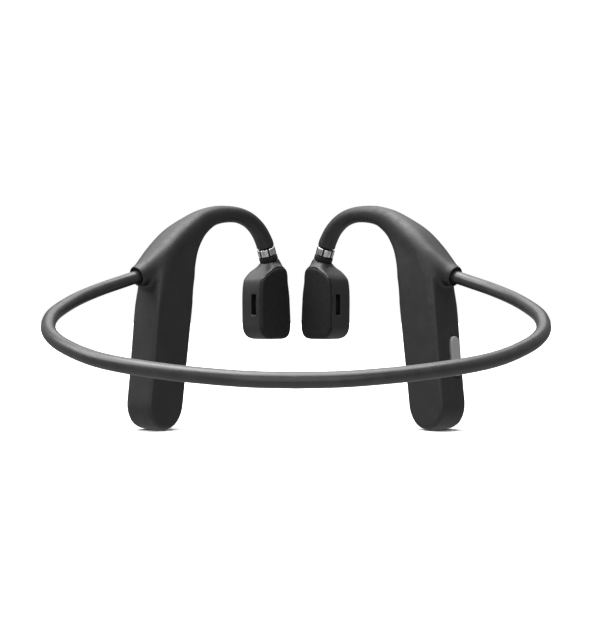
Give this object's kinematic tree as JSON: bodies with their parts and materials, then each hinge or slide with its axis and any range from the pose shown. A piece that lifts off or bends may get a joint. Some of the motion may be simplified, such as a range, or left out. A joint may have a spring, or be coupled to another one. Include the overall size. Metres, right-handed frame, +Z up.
{
  "type": "bone conduction headphones",
  "caption": "Open-ear headphones: a springy band behind the head, a hook over each ear, a pod behind it and a sound transducer on the cheekbone in front.",
  "frame": {"origin": "midway between the two points where the undersides of the hooks rest on the ears", "axes": "+X to the wearer's right, +Y the way the wearer faces, +Z up"},
  "size_m": [0.1428, 0.1543, 0.0751],
  "materials": {
    "sleeve_silicone": "soft matte silicone",
    "band_silicone": "smooth satin silicone",
    "shell_plastic": "soft-touch coated plastic",
    "pad_silicone": "matte silicone",
    "black_rubber": "matte black rubber",
    "chrome": "bright plated",
    "titanium": "plain titanium alloy wire",
    "lead_insulation": "thin insulated leads",
    "motor_steel": "plain steel",
    "magnet_nickel": "nickel plated magnet",
    "copper": "enamelled copper winding",
    "cell_foil": "laminated pouch foil",
    "circuit_board": "green solder mask",
    "shield_steel": "tinned steel",
    "switch_body": "moulded black",
    "lamp_lens": "milky lens",
    "grey_button": "satin grey"
  },
  "bodies": {
    "neckband": {"centre_sheath": "band_silicone", "centre_wire": "titanium", "centre_leads": "lead_insulation"},
    "left_arm": {"left_arm_sheath": "band_silicone", "left_arm_wire": "titanium", "left_arm_leads": "lead_insulation", "left_band_grommet": "black_rubber", "left_contact_pad": "pad_silicone", "left_exciter_magnet": "magnet_nickel", "left_exciter_top_plate": "motor_steel", "left_exciter_yoke": "motor_steel", "left_hook_sleeve": "sleeve_silicone", "left_neck_collar": "black_rubber", "left_pod_inner_cover": "shell_plastic", "left_pod_outer_shell": "shell_plastic", "left_slot_mesh": "motor_steel", "left_spring_plate": "motor_steel", "left_transducer_housing": "shell_plastic", "left_trim_ring": "chrome", "left_voice_coil": "copper", "left_battery_cell": "cell_foil", "left_battery_board": "circuit_board", "left_multifunction_switch": "switch_body"},
    "right_arm": {"right_arm_sheath": "band_silicone", "right_arm_wire": "titanium", "right_arm_leads": "lead_insulation", "right_band_grommet": "black_rubber", "right_contact_pad": "pad_silicone", "right_exciter_magnet": "magnet_nickel", "right_exciter_top_plate": "motor_steel", "right_exciter_yoke": "motor_steel", "right_hook_sleeve": "sleeve_silicone", "right_neck_collar": "black_rubber", "right_pod_inner_cover": "shell_plastic", "right_pod_outer_shell": "shell_plastic", "right_slot_mesh": "motor_steel", "right_spring_plate": "motor_steel", "right_transducer_housing": "shell_plastic", "right_trim_ring": "chrome", "right_voice_coil": "copper", "right_main_board": "circuit_board", "right_radio_shield_can": "shield_steel", "right_microphone": "shield_steel", "right_status_lamp": "lamp_lens", "right_usb_receptacle": "shield_steel", "right_volume_up_switch": "switch_body", "right_volume_down_switch": "switch_body"},
    "multifunction_button": {"left_multifunction_button": "shell_plastic"},
    "volume_rocker": {"volume_rocker": "grey_button"},
    "port_cover": {"port_cover": "black_rubber"}
  },
  "joints": [
    {"name": "left_arm_flex", "type": "hinge", "parent": "neckband", "child": "left_arm", "pos_m": [-0.032, -0.1231, -0.0464], "axis": [0, -0.2756, 0.9613], "range_deg": [0, 25], "stiffness_Nm_per_rad": 0.4},
    {"name": "right_arm_flex", "type": "hinge", "parent": "neckband", "child": "right_arm", "pos_m": [0.032, -0.1231, -0.0464], "axis": [0, 0.2756, -0.9613], "range_deg": [0, 25], "stiffness_Nm_per_rad": 0.4},
    {"name": "volume_rocker_tilt", "type": "hinge", "parent": "right_arm", "child": "volume_rocker", "pos_m": [0.05133, -0.02777, -0.04588], "axis": [0.7431, 0.6691, 0], "range_deg": [-3, 3], "stiffness_Nm_per_rad": 0.05},
    {"name": "multifunction_button_press", "type": "slide", "parent": "left_arm", "child": "multifunction_button", "axis": [0.7431, -0.6691, 0], "range_m": [0, 0.00025], "stiffness_N_per_m": 300},
    {"name": "port_cover_hinge", "type": "hinge", "parent": "right_arm", "child": "port_cover", "pos_m": [0.04991, -0.02021, -0.05014], "axis": [0.6652, -0.7388, 0.108], "range_deg": [0, 105]}
  ]
}
